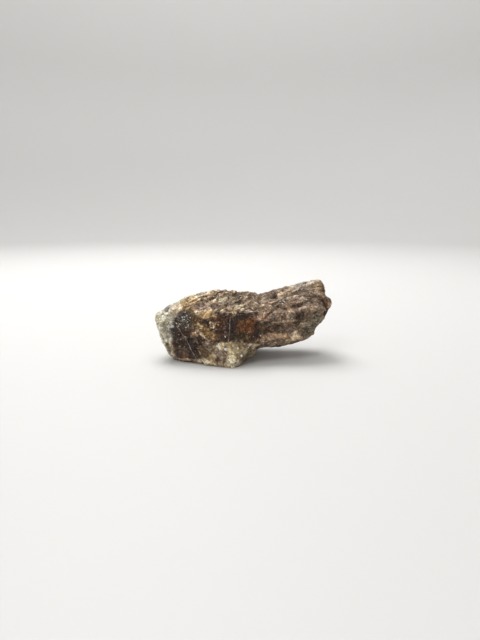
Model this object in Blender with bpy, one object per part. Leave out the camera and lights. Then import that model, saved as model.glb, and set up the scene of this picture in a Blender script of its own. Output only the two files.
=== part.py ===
"""A rough apatite crystal on its own broken foot, lying on a table.

The stone is one piece, 53 mm long. Three convex lumps that grew together give it its main form:
a chunky head on the left with a broken, glassy front face, a ridged tail that rises to the right
clear of the table, and a small broken nub at the tail's end. Their corners are named below.

The surface is a grid. Each row of the grid stands at one place on a line through the middle of the
stone, each column points one way round it, and the surface point is where that ray leaves the
lumps. Ledges, ridges, chips and hollows then move it in and out, and the table plane cuts the foot
off flat. +X runs along the stone to the tail, +Y away from the glassy face, +Z up. The origin is on
the table under the middle of the stone.
"""

import itertools
import math

import bmesh
import bpy
import numpy as np

MM = 0.001
BOX_MIDDLE = np.array((-0.1, 0.5, 0.0))  # middle of the finished stone's box among the corners below

# Corners of the head, in millimetres. The lowest ones lie under the table plane, which cuts the foot
# off flat.
HEAD = {
    "foot tip": (-3.2, -12.9, -0.9),
    "foot left": (-22.4, -4.4, 0.8),
    "left end low": (-25.4, -4.3, 7.4),
    "left end corner": (-28.2, -3.2, 13.0),
    "left shoulder": (-23.4, -1.5, 15.3),
    "crest left": (-17.4, 0.2, 18.7),
    "crest rise": (-14.4, 0.8, 20.0),
    "crest middle": (-11.2, 1.2, 20.4),
    "crest right": (0.2, 1.6, 20.6),
    "crest end": (4.8, 2.2, 18.9),
    "brow left": (-19.4, -5.4, 15.0),
    "brow middle": (-5.2, -7.8, 15.3),
    "brow right": (3.4, -6.6, 14.2),
    "cheek": (5.0, -6.2, 9.2),
    "heel": (3.4, -4.6, 3.2),
    "sill left": (-20.6, -6.0, 2.6),
    "sill middle": (-4.6, -11.2, 5.2),
    "sill right": (0.6, -9.0, 5.0),
    "base left": (-17.6, -4.6, -0.9),
    "base left back": (-18.0, 3.0, -0.8),
    "base back": (-6.0, 9.4, -0.8),
    "base right back": (4.4, 6.4, -0.7),
    "base right": (0.8, -4.4, -0.7),
    "back left": (-24.6, 4.4, 9.4),
    "back shoulder": (-18.6, 6.4, 16.0),
    "back crest": (-7.6, 8.6, 17.6),
    "back belly": (-9.0, 12.0, 8.4),
    "back right": (4.4, 11.2, 12.6),
}
# Corners of the tail, a weathered six-sided prism whose left end is buried in the head.
TAIL = {
    "top left": (8.4, 2.6, 19.0),
    "top right": (21.6, 4.6, 23.3),
    "top corner": (24.2, 4.6, 23.2),
    "end upper": (24.0, 1.6, 18.8),
    "ridge left": (2.4, -7.6, 10.6),
    "ridge right": (21.6, -3.6, 16.8),
    "flank left": (4.8, -6.6, 5.0),
    "flank middle": (13.1, -4.8, 5.1),
    "flank right": (19.6, -3.2, 8.7),
    "under left": (6.6, -3.4, 3.4),
    "under middle": (13.6, -1.2, 3.2),
    "under right": (19.0, -1.0, 5.7),
    "end low": (23.0, -0.8, 12.4),
    "back top left": (0.6, 8.6, 16.6),
    "back top right": (22.4, 10.6, 19.6),
    "back ridge left": (0.0, 12.2, 11.0),
    "back ridge right": (22.6, 12.4, 14.4),
    "back under left": (4.6, 9.0, 4.2),
    "back under right": (19.4, 9.6, 7.6),
    "buried top": (-3.0, 3.0, 14.0),
    "buried low": (-3.0, 5.0, 6.0),
}
# Corners of the nub, the lower step of the tail's broken end.
NUB = {
    "top": (26.2, 0.4, 17.2),
    "tip": (26.6, 0.1, 15.3),
    "low": (24.0, -0.9, 12.8),
    "back top": (26.2, 6.4, 17.0),
    "back tip": (26.6, 6.6, 14.2),
    "back low": (23.6, 6.8, 11.6),
    "buried top": (20.6, 0.4, 17.6),
    "buried low": (20.6, 0.4, 12.6),
    "buried back": (20.6, 7.0, 15.0),
}
EDGE_ROUND = 0.35  # how far a worn edge between two faces is rounded, in millimetres
VALLEY_ROUND = 1.4  # how far the valley between two lumps is filled

# The line through the middle of the stone that the rays start from, in millimetres.
MIDDLE_LINE = np.array([(-17.5, 0.2, 9.4), (-6.0, 0.8, 9.6), (5.5, 3.4, 11.4), (17.6, 4.6, 15.2)])
ROWS = 150
COLUMNS = 168
CAP_SHARE = 0.22  # share of the rows that fan out over each end of the stone
REACH = 34.0  # a ray's length, in millimetres: past the surface from any place on the line
STEPS = 68
HALVINGS = 14

# Shell-shaped hollows of the glassy break: a place on the face, the way out of it, width and depth.
HOLLOWS = (
    ((-15.6, -7.4, 7.6), (-0.35, -0.92, 0.10), 11.5, 1.7),
    ((-8.6, -9.0, 11.0), (-0.05, -0.96, 0.28), 8.5, 1.4),
    ((-0.4, -9.4, 10.4), (0.22, -0.95, 0.20), 8.5, 1.5),
    ((-9.0, -9.6, 5.8), (-0.12, -0.97, 0.18), 6.5, 1.0),
    ((-18.6, -5.6, 13.2), (-0.20, -0.90, 0.40), 6.0, 0.8),
    ((-25.8, -2.6, 9.6), (-0.93, -0.34, -0.10), 7.0, 0.5),
)
# Ridges and grooves of the skin: both ends, half width and height, which is negative for a groove.
CREASES = {
    "skyline notch": ((7.8, 1.9, 18.6), (11.6, 1.9, 19.5), 0.9, -0.9),
    "upper groove": ((12.4, -3.0, 15.9), (20.8, -2.2, 17.4), 1.2, -1.0),
    "upper ridge": ((10.6, -4.4, 13.8), (21.2, -3.3, 15.9), 1.1, 0.6),
    "middle ridge": ((7.4, -6.0, 11.2), (17.8, -4.4, 12.8), 0.9, 0.5),
    "middle groove": ((4.4, -7.0, 9.8), (17.5, -3.9, 9.9), 1.4, -0.7),
    "lower ridge": ((4.4, -6.8, 7.7), (16.9, -3.4, 6.9), 1.3, 0.5),
    "sill": ((-12.6, -8.6, 5.2), (-1.4, -9.6, 5.8), 1.1, 0.7),
    "brow groove": ((-19.4, -2.6, 15.3), (-9.6, 0.4, 18.9), 0.9, -0.6),
    "brow ridge": ((-17.6, -3.6, 15.6), (-5.8, -0.6, 18.8), 1.0, 0.5),
}
WANDER = 0.8  # how far a crease wanders off its straight line, in millimetres

# Heights of the relief over the whole skin, in millimetres.
SWELL = 0.55
BIG_CHIPS = 0.75
SMALL_CHIPS = 0.45
TAIL_RIDGES = 0.45
BROW_LEDGES = 0.5
GLASSY_SHARE = 0.25  # share of the chips that the glassy break keeps

TAIL_WAY = np.array((0.94, 0.08, 0.33))  # the way the tail and its fine ridges run
LEDGE_WAY = np.array((-0.50, 0.40, 0.77))  # the way across the brow's broken sheets
LEDGE_WIDTH = 2.1
LEDGE_DROP = 0.72  # share of a sheet's width where its edge starts to drop

TRIANGLES = 8700
SLIVER = 0.08  # shortest edge left along the cut of the foot, in millimetres
SHARP_ANGLE = 35  # an edge sharper than this many degrees is drawn sharp
NOISE_GAIN = 2.6  # brings the noise to about -1 to 1
SOLID_NAME = "apatite_crystal"


def clear_scene():
    for found in list(bpy.data.objects):
        bpy.data.objects.remove(found)


def hull_planes(corners):
    """The flat faces of the smallest convex shape round the corners: outward normals and distances."""
    shape = bmesh.new()
    for place in corners.values():
        shape.verts.new(place)
    bmesh.ops.convex_hull(shape, input=shape.verts)
    bmesh.ops.recalc_face_normals(shape, faces=shape.faces)
    shape.normal_update()
    normals = np.array([face.normal for face in shape.faces])
    distances = np.array([face.normal.dot(face.verts[0].co) for face in shape.faces])
    shape.free()
    return normals, distances


def scrambled(boxes, seed):
    """A repeatable random number from 0 to 1 for each whole-number lattice box and seed."""
    mixed = boxes[..., 0] * 374761393 + boxes[..., 1] * 668265263 + boxes[..., 2] * 1103515245
    mixed = (mixed + seed * 1274126177) & 0xFFFFFFFF
    mixed = ((mixed ^ (mixed >> 13)) * 1274126177) & 0xFFFFFFFF
    return ((mixed ^ (mixed >> 16)) & 0xFFFFFF) / 0xFFFFFF


def noise(points, size, seed):
    """Smooth noise from about -1 to 1: a random slope at each lattice corner, blended between them."""
    place = points / size
    box = np.floor(place).astype(np.int64)
    inside = place - box
    blend = inside**3 * (inside * (inside * 6 - 15) + 10)
    total = np.zeros(points.shape[:-1])
    for corner in itertools.product((0, 1), repeat=3):
        slope = np.stack([scrambled(box + corner, seed + axis) - 0.5 for axis in range(3)], -1)
        weight = np.prod(np.where(np.array(corner) == 1, blend, 1 - blend), -1)
        total += weight * np.sum(slope * (inside - corner), -1)
    return total * NOISE_GAIN


def layered(points, size, seed, layers):
    """Noise summed over layers, each half the size and half the height of the one before."""
    return sum(noise(points, size / 2**k, seed + 17 * k) / 2**k for k in range(layers))


def chips(points, size, seed):
    """Flat broken facets: each random cell tilts its own way, fading to nothing at the cell's edge."""
    box = np.floor(points / size).astype(np.int64)
    nearest = np.full(points.shape[:-1], np.inf)
    second = nearest.copy()
    tilt = np.zeros(points.shape[:-1])
    for step in itertools.product((-1, 0, 1), repeat=3):
        cell = box + step
        dice = np.stack([scrambled(cell, seed + k) for k in range(6)], -1)
        away = points - (cell + dice[..., :3]) * size
        distance = np.linalg.norm(away, axis=-1)
        closer = distance < nearest
        second = np.where(closer, nearest, np.minimum(second, distance))
        tilt = np.where(closer, np.sum(away * (dice[..., 3:] - 0.5), -1) * 2 / size, tilt)
        nearest = np.where(closer, distance, nearest)
    return tilt * np.clip((second - nearest) / (0.25 * size), 0, 1)


def rounded_max(values, radius):
    """The largest of the values, with the corner between two of them rounded by the radius."""
    top = values.max(-1, keepdims=True)
    return top[..., 0] + radius * np.log(np.exp((values - top) / radius).sum(-1))


def lump_distance(points, planes):
    """Distance outside a convex lump, negative inside: the largest distance over its flat faces."""
    normals, distances = planes
    return rounded_max(points @ normals.T - distances, EDGE_ROUND)


def hollow_distance(points, place, way, width, depth):
    """Distance inside the ball that cuts a hollow of that width and depth at a place on the face."""
    radius = (width**2 / 4 + depth**2) / (2 * depth)
    way = np.array(way) / np.linalg.norm(way)
    centre = np.array(place) + (radius - depth) * way
    return radius - np.linalg.norm(points - centre, axis=-1)


def stone_distance(points, lumps):
    """Distance outside the stone: the nearest lump's, less the hollows cut from the head."""
    apart = np.stack([lump_distance(points, planes) for planes in lumps], -1)
    joined = -rounded_max(-apart, VALLEY_ROUND)
    hollows = [hollow_distance(points, *hollow) for hollow in HOLLOWS]
    return rounded_max(np.stack([joined, *hollows], -1), EDGE_ROUND)


def rays(rows, columns):
    """Where each ray of the grid starts and the way it points, one row from pole to pole."""
    share = np.arange(1, rows) / rows
    cap = np.clip(share / CAP_SHARE, 0, 1) - np.clip((1 - share) / CAP_SHARE, 0, 1)
    fan = cap * math.pi / 2
    along = np.clip((share - CAP_SHARE / 2) / (1 - CAP_SHARE), 0, 1) * (len(MIDDLE_LINE) - 1)
    knots = np.arange(len(MIDDLE_LINE))
    start = np.stack([np.interp(along, knots, MIDDLE_LINE[:, axis]) for axis in range(3)], -1)
    forward = MIDDLE_LINE[-1] - MIDDLE_LINE[0]
    forward = forward / np.linalg.norm(forward)
    side = np.cross((0, 0, 1), forward)
    side = side / np.linalg.norm(side)
    upward = np.cross(forward, side)
    turn = np.arange(columns) / columns * 2 * math.pi
    around = np.cos(turn)[:, None] * side + np.sin(turn)[:, None] * upward
    way = np.sin(fan)[:, None, None] * forward + np.cos(fan)[:, None, None] * around
    start = np.broadcast_to(start[:, None, :], way.shape)
    poles = np.stack([MIDDLE_LINE[0], MIDDLE_LINE[-1]]), np.stack([-forward, forward])
    return start, way, poles


def leave_stone(start, way, lumps):
    """Walks each ray outwards to the last place inside the stone, then halves the step to the surface."""
    inner = np.zeros(way.shape[:-1])
    for length in np.linspace(REACH / STEPS, REACH, STEPS):
        inside = stone_distance(start + length * way, lumps) < 0
        inner = np.where(inside, length, inner)
    outer = inner + REACH / STEPS
    for _ in range(HALVINGS):
        middle = (inner + outer) / 2
        inside = stone_distance(start + middle[..., None] * way, lumps) < 0
        inner = np.where(inside, middle, inner)
        outer = np.where(inside, outer, middle)
    return start + inner[..., None] * way


def outward(points, lumps, probe=0.05):
    """Unit normals of the stone: how its distance changes over a small step along each axis."""
    steps = np.eye(3) * probe
    slope = [stone_distance(points + s, lumps) - stone_distance(points - s, lumps) for s in steps]
    slope = np.stack(slope, -1)
    return slope / np.linalg.norm(slope, axis=-1, keepdims=True)


def smooth_step(value, low, high):
    share = np.clip((value - low) / (high - low), 0, 1)
    return share * share * (3 - 2 * share)


def creases(points):
    """Height of all the named ridges and grooves: each falls off as a bell shape from its wavy line."""
    wave = np.stack([noise(points, size=3.6, seed=seed) for seed in (210, 220, 230)], -1)
    height = np.zeros(points.shape[:-1])
    for start, end, width, peak in CREASES.values():
        start = np.array(start)
        line = np.array(end) - start
        away = points + WANDER * wave - start
        share = np.clip(away @ line / (line @ line), 0, 1)
        distance = np.linalg.norm(away - share[..., None] * line, axis=-1)
        height += peak * np.exp(-((distance / width) ** 2))
    return height


def tail_ridges(points):
    """Fine ridges along the tail: folded noise that hardly changes along the tail's way."""
    squeezed = points - 0.86 * (points @ TAIL_WAY)[..., None] * TAIL_WAY
    coarse = 0.5 - 1.5 * np.abs(noise(squeezed, size=3.1, seed=90))
    fine = 0.5 - 1.5 * np.abs(noise(squeezed, size=1.4, seed=96))
    return coarse + 0.4 * fine


def brow_ledges(points):
    """Edges of the brow's broken sheets: each sheet rises slowly across its width, then drops."""
    level = points @ LEDGE_WAY / LEDGE_WIDTH + 0.8 * noise(points, size=6.0, seed=120)
    share = level - np.floor(level)
    return share * smooth_step(share, 1.0, LEDGE_DROP) - 0.3


def relief(points, normals):
    """How far the skin stands out from the lumps, in millimetres."""
    x, z = points[..., 0], points[..., 2]
    faces_front = smooth_step(-normals[..., 1] - 0.25 * normals[..., 2], 0.45, 0.8)
    on_break = faces_front * smooth_step(x, 5.0, 2.0) * smooth_step(z, 15.6, 13.6)
    on_tail = smooth_step(x, 1.0, 7.0)
    on_brow = smooth_step(z, 13.6, 15.4) * smooth_step(normals[..., 2], 0.1, 0.5) * (1 - on_tail)

    height = SWELL * layered(points, size=7.0, seed=3, layers=2) + creases(points)
    chipped = BIG_CHIPS * chips(points, size=4.6, seed=40) + SMALL_CHIPS * chips(points, size=2.1, seed=60)
    height += chipped * (1 - (1 - GLASSY_SHARE) * on_break)
    height += TAIL_RIDGES * on_tail * tail_ridges(points)
    height += BROW_LEDGES * on_brow * brow_ledges(points)
    above_cut = smooth_step(z, -0.5, 0.3)
    return height * above_cut


def stone_skin(rows, columns):
    """The stone's surface as a grid of points and its two poles, in millimetres."""
    lumps = [hull_planes(corners) for corners in (HEAD, TAIL, NUB)]
    start, way, (pole_start, pole_way) = rays(rows, columns)
    start = np.concatenate([start.reshape(-1, 3), pole_start])
    way = np.concatenate([way.reshape(-1, 3), pole_way])
    points = leave_stone(start, way, lumps)
    normals = outward(points, lumps)
    return points + relief(points, normals)[:, None] * normals


def grid_faces(rows, columns):
    """Quads between neighbouring rays, with a fan of triangles round each pole."""
    index = np.arange((rows - 1) * columns).reshape(rows - 1, columns)
    beside = np.roll(index, -1, axis=1)
    quads = np.stack([index[:-1], index[1:], beside[1:], beside[:-1]], -1).reshape(-1, 4)
    left_pole = index.size
    right_pole = left_pole + 1
    left = np.stack([np.full(columns, left_pole), index[0], beside[0]], -1)
    right = np.stack([np.full(columns, right_pole), beside[-1], index[-1]], -1)
    return quads.tolist() + left.tolist() + right.tolist()


def stone_colour():
    material = bpy.data.materials.new("weathered_apatite")
    material.use_nodes = True
    surface = material.node_tree.nodes["Principled BSDF"]
    surface.inputs["Base Color"].default_value = (0.19, 0.13, 0.085, 1.0)
    surface.inputs["Roughness"].default_value = 0.62
    surface.inputs["Metallic"].default_value = 0.0
    return material


def thinned(mesh):
    """A copy of the mesh with few triangles, most of them where the surface bends."""
    whole = bpy.data.objects.new("whole grid", mesh)
    bpy.context.scene.collection.objects.link(whole)
    fewer = whole.modifiers.new("fewer triangles", "DECIMATE")
    fewer.ratio = TRIANGLES / (2 * (ROWS - 1) * COLUMNS)
    fewer.use_collapse_triangulate = True
    result = bpy.data.meshes.new_from_object(whole.evaluated_get(bpy.context.evaluated_depsgraph_get()))
    bpy.data.objects.remove(whole)
    return result


def cut_foot(shape):
    """Cuts off what lies under the table plane, merges the slivers of the cut and closes it flat."""
    everything = [*shape.verts, *shape.edges, *shape.faces]
    bmesh.ops.bisect_plane(shape, geom=everything, plane_co=(0, 0, 0), plane_no=(0, 0, 1), clear_inner=True)
    rim = [vert for vert in shape.verts if vert.is_boundary]
    bmesh.ops.remove_doubles(shape, verts=rim, dist=SLIVER * MM)
    rim = [vert for vert in shape.verts if vert.is_boundary]
    for vert in rim:
        vert.co.z = 0
    edges = [edge for edge in shape.edges if edge.is_boundary]
    base = bmesh.ops.contextual_create(shape, geom=edges)["faces"]
    bmesh.ops.triangulate(shape, faces=base)


def make_stone():
    grid = bpy.data.meshes.new("grid")
    points = (stone_skin(ROWS, COLUMNS) - BOX_MIDDLE) * MM
    grid.from_pydata(points.tolist(), [], grid_faces(ROWS, COLUMNS))
    mesh = thinned(grid)
    mesh.name = SOLID_NAME
    shape = bmesh.new()
    shape.from_mesh(mesh)
    cut_foot(shape)
    bmesh.ops.recalc_face_normals(shape, faces=shape.faces)
    shape.to_mesh(mesh)
    shape.free()
    mesh.materials.append(stone_colour())
    stone = bpy.data.objects.new(SOLID_NAME, mesh)
    bpy.context.scene.collection.objects.link(stone)
    mesh.shade_smooth()
    mesh.set_sharp_from_angle(angle=math.radians(SHARP_ANGLE))
    return stone


clear_scene()
make_stone()
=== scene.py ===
# %% [markdown]
# # A rough apatite crystal
#
# The object is one broken stone, 53 mm long: a chunky head with a dark glassy break on its front, a
# weathered tail that rises clear of the ground, and a small nub at the tail's end. The frame already
# holds a plain solid of it. This lesson puts the real skin in that solid's place: the same form worked
# out on a much finer grid, with the small relief, the colours of the crust and the gloss of the break.

import itertools
import math

import bpy
import numpy as np
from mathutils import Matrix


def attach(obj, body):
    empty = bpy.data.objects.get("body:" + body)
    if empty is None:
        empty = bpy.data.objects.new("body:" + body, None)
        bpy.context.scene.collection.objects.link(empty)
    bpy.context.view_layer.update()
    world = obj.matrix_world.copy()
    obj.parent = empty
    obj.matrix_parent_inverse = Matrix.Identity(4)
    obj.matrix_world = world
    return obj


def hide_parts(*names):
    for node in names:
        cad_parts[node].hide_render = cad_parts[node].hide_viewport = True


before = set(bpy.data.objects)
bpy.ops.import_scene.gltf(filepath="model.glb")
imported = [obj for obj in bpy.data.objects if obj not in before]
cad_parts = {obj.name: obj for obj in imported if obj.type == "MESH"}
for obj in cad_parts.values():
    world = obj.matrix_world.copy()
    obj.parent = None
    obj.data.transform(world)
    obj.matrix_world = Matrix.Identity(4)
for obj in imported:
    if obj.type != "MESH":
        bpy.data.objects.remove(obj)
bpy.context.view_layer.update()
MM = 0.001
SOLID_NAME = "apatite_crystal"

# %% [markdown]
# ## The camera
#
# The stone was photographed from 14 cm away and a little above, looking slightly down. A lens is fixed
# by how many pixels one unit of sideways slope covers, so the photograph's own focal length in pixels
# gives the lens for Blender's 36 mm sensor, which spans the frame's long side.

# %% The camera
FRAME_HEIGHT = 640  # the photograph's frame, in pixels
FOCAL_PIXELS = 481
SENSOR = 36.0
CAMERA_PLACE = (-1.0, -142.4, 44.1)  # in millimetres
CAMERA_DOWN = 13.0  # degrees below the horizon


def make_camera():
    """A camera whose lens is the focal length over the frame's height, times the sensor."""
    data = bpy.data.cameras.new("camera")
    data.sensor_width = SENSOR
    data.lens = FOCAL_PIXELS / FRAME_HEIGHT * SENSOR
    data.clip_start = 10 * MM
    camera = bpy.data.objects.new("camera", data)
    camera.location = [value * MM for value in CAMERA_PLACE]
    camera.rotation_euler = (math.radians(90 - CAMERA_DOWN), 0, 0)
    bpy.context.scene.collection.objects.link(camera)
    bpy.context.scene.camera = camera
    print("camera lens", round(data.lens, 1), "mm")


make_camera()

# %% [markdown]
# ## Three convex lumps
#
# A broken crystal is mostly flat faces between a few corners, so each lump of the stone is the smallest
# convex shape round a short list of corners, named by where they are. These are the solid's own
# corners, in millimetres, so that the skin stays where the solid is; only the three at the low end of
# the tail are half a millimetre further out. The lowest corners of the head lie under the ground,
# which cuts the foot off flat.

# %% Corners of the three lumps
HEAD = {
    "foot tip": (-3.2, -12.9, -0.9),
    "foot left": (-22.4, -4.4, 0.8),
    "left end low": (-25.4, -4.3, 7.4),
    "left end corner": (-28.2, -3.2, 13.0),
    "left shoulder": (-23.4, -1.5, 15.3),
    "crest left": (-17.4, 0.2, 18.7),
    "crest rise": (-14.4, 0.8, 20.0),
    "crest middle": (-11.2, 1.2, 20.4),
    "crest right": (0.2, 1.6, 20.6),
    "crest end": (4.8, 2.2, 18.9),
    "brow left": (-19.4, -5.4, 15.0),
    "brow middle": (-5.2, -7.8, 15.3),
    "brow right": (3.4, -6.6, 14.2),
    "cheek": (5.0, -6.2, 9.2),
    "heel": (3.4, -4.6, 3.2),
    "sill left": (-20.6, -6.0, 2.6),
    "sill middle": (-4.6, -11.2, 5.2),
    "sill right": (0.6, -9.0, 5.0),
    "base left": (-17.6, -4.6, -0.9),
    "base left back": (-18.0, 3.0, -0.8),
    "base back": (-6.0, 9.4, -0.8),
    "base right back": (4.4, 6.4, -0.7),
    "base right": (0.8, -4.4, -0.7),
    "back left": (-24.6, 4.4, 9.4),
    "back shoulder": (-18.6, 6.4, 16.0),
    "back crest": (-7.6, 8.6, 17.6),
    "back belly": (-9.0, 12.0, 8.4),
    "back right": (4.4, 11.2, 12.6),
}
TAIL = {
    "top left": (8.4, 2.6, 19.0),
    "top right": (21.6, 4.6, 23.3),
    "top corner": (24.2, 4.6, 23.2),
    "end upper": (24.0, 1.6, 18.8),
    "ridge left": (2.4, -7.6, 10.6),
    "ridge right": (21.6, -3.6, 16.8),
    "flank left": (4.8, -6.6, 5.0),
    "flank middle": (13.1, -4.8, 5.1),
    "flank right": (20.3, -3.2, 8.2),
    "under left": (6.6, -3.4, 3.4),
    "under middle": (13.6, -1.2, 3.2),
    "under right": (19.6, -1.0, 5.2),
    "end low": (23.6, -0.8, 12.1),
    "back top left": (0.6, 8.6, 16.6),
    "back top right": (22.4, 10.6, 19.6),
    "back ridge left": (0.0, 12.2, 11.0),
    "back ridge right": (22.6, 12.4, 14.4),
    "back under left": (4.6, 9.0, 4.2),
    "back under right": (19.4, 9.6, 7.6),
    "buried top": (-3.0, 3.0, 14.0),
    "buried low": (-3.0, 5.0, 6.0),
}
NUB = {
    "top": (26.2, 0.4, 17.2),
    "tip": (26.6, 0.1, 15.3),
    "low": (24.0, -0.9, 12.8),
    "back top": (26.2, 6.4, 17.0),
    "back tip": (26.6, 6.6, 14.2),
    "back low": (23.6, 6.8, 11.6),
    "buried top": (20.6, 0.4, 17.6),
    "buried low": (20.6, 0.4, 12.6),
    "buried back": (20.6, 7.0, 15.0),
}
BOX_MIDDLE = np.array((-0.1, 0.5, 0.0))  # middle of the finished stone's box among these corners
print(len(HEAD) + len(TAIL) + len(NUB), "corners")

# %% [markdown]
# ## From corners to a distance
#
# A convex shape is the space behind all of its flat faces at once, so a point's distance outside it is
# its largest distance over the faces. Blender's convex hull operator finds the faces. A rounded
# maximum, the logarithm of a sum of exponentials, wears the edges a little, as handling does. The same
# trick turned round, a rounded minimum, joins the lumps and fills the valleys between them, and a ball
# taken away from the front leaves the shell-shaped hollow that glassy minerals break with.

# %% Distance outside the stone
import bmesh

EDGE_ROUND = 0.35
VALLEY_ROUND = 1.4
# A place on the face, the way out of it, width and depth, for each hollow of the glassy break.
HOLLOWS = (
    ((-15.6, -7.4, 7.6), (-0.35, -0.92, 0.10), 11.5, 1.7),
    ((-8.6, -9.0, 11.0), (-0.05, -0.96, 0.28), 8.5, 1.4),
    ((-0.4, -9.4, 10.4), (0.22, -0.95, 0.20), 8.5, 1.5),
    ((-9.0, -9.6, 5.8), (-0.12, -0.97, 0.18), 6.5, 1.0),
    ((-18.6, -5.6, 13.2), (-0.20, -0.90, 0.40), 6.0, 0.8),
    ((-25.8, -2.6, 9.6), (-0.93, -0.34, -0.10), 7.0, 0.5),
)


def hull_planes(corners):
    """Outward normals and distances of the flat faces of the smallest convex shape round the corners."""
    shape = bmesh.new()
    for place in corners.values():
        shape.verts.new(place)
    bmesh.ops.convex_hull(shape, input=shape.verts)
    bmesh.ops.recalc_face_normals(shape, faces=shape.faces)
    shape.normal_update()
    normals = np.array([face.normal for face in shape.faces])
    distances = np.array([face.normal.dot(face.verts[0].co) for face in shape.faces])
    shape.free()
    return normals, distances


def rounded_max(values, radius):
    """The largest value plus radius times the log of the summed exponentials of the rest over radius."""
    top = values.max(-1, keepdims=True)
    return top[..., 0] + radius * np.log(np.exp((values - top) / radius).sum(-1))


def hollow_distance(points, place, way, width, depth):
    """Distance inside the ball whose cap has that width and depth: its radius less the way to its centre."""
    radius = (width**2 / 4 + depth**2) / (2 * depth)
    way = np.array(way) / np.linalg.norm(way)
    centre = np.array(place) + (radius - depth) * way
    return radius - np.linalg.norm(points - centre, axis=-1)


LUMPS = [hull_planes(corners) for corners in (HEAD, TAIL, NUB)]


def stone_distance(points):
    """The rounded smallest of the lumps' distances, or a hollow's distance where that is larger."""
    apart = [rounded_max(points @ normals.T - distances, EDGE_ROUND) for normals, distances in LUMPS]
    joined = -rounded_max(-np.stack(apart, -1), VALLEY_ROUND)
    hollows = [hollow_distance(points, *hollow) for hollow in HOLLOWS]
    return rounded_max(np.stack([joined, *hollows], -1), EDGE_ROUND)


print("flat faces:", [len(distances) for _, distances in LUMPS])

# %% [markdown]
# ## A grid of rays
#
# The skin is a grid over two parameters. The first says how far along the middle line of the stone a
# ray starts, and near both ends it tips the rays over until they point along the line, which closes the
# ends in a pole. The second is the angle round the line.

# %% Rays
MIDDLE_LINE = np.array([(-17.5, 0.2, 9.4), (-6.0, 0.8, 9.6), (5.5, 3.4, 11.4), (17.6, 4.6, 15.2)])
CAP_SHARE = 0.22
ROWS, COLUMNS = ((270, 362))


def make_rays(rows, columns):
    """A ray for each row and column: its start on the middle line, and its way out as a unit vector."""
    share = np.arange(1, rows) / rows
    cap = np.clip(share / CAP_SHARE, 0, 1) - np.clip((1 - share) / CAP_SHARE, 0, 1)
    tip = cap * math.pi / 2
    along = np.clip((share - CAP_SHARE / 2) / (1 - CAP_SHARE), 0, 1) * (len(MIDDLE_LINE) - 1)
    knots = np.arange(len(MIDDLE_LINE))
    start = np.stack([np.interp(along, knots, MIDDLE_LINE[:, axis]) for axis in range(3)], -1)
    forward = MIDDLE_LINE[-1] - MIDDLE_LINE[0]
    forward = forward / np.linalg.norm(forward)
    side = np.cross((0, 0, 1), forward)
    side = side / np.linalg.norm(side)
    turn = np.arange(columns) / columns * 2 * math.pi
    around = np.cos(turn)[:, None] * side + np.sin(turn)[:, None] * np.cross(forward, side)
    way = np.sin(tip)[:, None, None] * forward + np.cos(tip)[:, None, None] * around
    start = np.broadcast_to(start[:, None, :], way.shape).reshape(-1, 3)
    start = np.concatenate([start, MIDDLE_LINE[[0, -1]]])
    way = np.concatenate([way.reshape(-1, 3), np.stack([-forward, forward])])
    return start, way


ray_start, ray_way = make_rays(ROWS, COLUMNS)
print(len(ray_way), "rays")

# %% [markdown]
# ## Where the rays leave the stone
#
# Where a ray leaves the stone is a point of the skin. The last flat face that it crosses gives a first
# guess of that place. Striding past the guess finds the last point inside, and halving the stride again
# and again makes it exact.

# %% Where the rays leave the stone
BEFORE, BEYOND, STRIDE = 5.0, 3.0, 0.5  # how far round the first guess to look, in millimetres
HALVINGS = 10


def flat_face_exit(start, way):
    """Where each ray leaves the last lump that it crosses, with no rounding: a plane's gap over its slope."""
    last = np.zeros(len(way))
    for normals, distances in LUMPS:
        slope = way @ normals.T
        gap = distances - start @ normals.T
        with np.errstate(divide="ignore"):
            crossing = gap / slope
        leave = np.where(slope > 0, crossing, np.inf).min(-1)
        enter = np.where(slope < 0, crossing, -np.inf).max(-1)
        last = np.where(enter < leave, np.maximum(last, leave), last)
    return last


def leave_stone(start, way):
    """The last length along each ray that is inside the stone, found by striding and then halving."""
    guess = flat_face_exit(start, way)
    inner = guess - BEFORE
    for offset in np.arange(-BEFORE, BEYOND, STRIDE):
        length = guess + offset
        inner = np.where(stone_distance(start + length[:, None] * way) < 0, length, inner)
    outer = inner + STRIDE
    for _ in range(HALVINGS):
        middle = (inner + outer) / 2
        inside = stone_distance(start + middle[:, None] * way) < 0
        inner, outer = np.where(inside, middle, inner), np.where(inside, outer, middle)
    return start + inner[:, None] * way


def outward(points, probe=0.05):
    """Unit normals: the change of the distance over a small step along each axis."""
    slope = [stone_distance(points + s) - stone_distance(points - s) for s in np.eye(3) * probe]
    slope = np.stack(slope, -1)
    return slope / np.linalg.norm(slope, axis=-1, keepdims=True)


lump_points = leave_stone(ray_start, ray_way)
lump_normals = outward(lump_points)
print("points from", lump_points.min(0).round(1), "to", lump_points.max(0).round(1), "mm")

# %% [markdown]
# ## Noise
#
# Three kinds of pattern make most of the relief. All are worked out from a point's place alone, so the
# same place always gets the same relief. The first is smooth noise, for swells and grain: each corner
# of a lattice has a random slope, and a point blends what the slopes of its eight corners say.

# %% Noise
NOISE_GAIN = 2.6  # brings the noise's highest values to about 1


def scrambled(boxes, seed):
    """A repeatable number from 0 to 1 for each whole-number box: its three numbers multiplied and mixed."""
    mixed = boxes[..., 0] * 374761393 + boxes[..., 1] * 668265263 + boxes[..., 2] * 1103515245
    mixed = (mixed + seed * 1274126177) & 0xFFFFFFFF
    mixed = ((mixed ^ (mixed >> 13)) * 1274126177) & 0xFFFFFFFF
    return ((mixed ^ (mixed >> 16)) & 0xFFFFFF) / 0xFFFFFF


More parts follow.
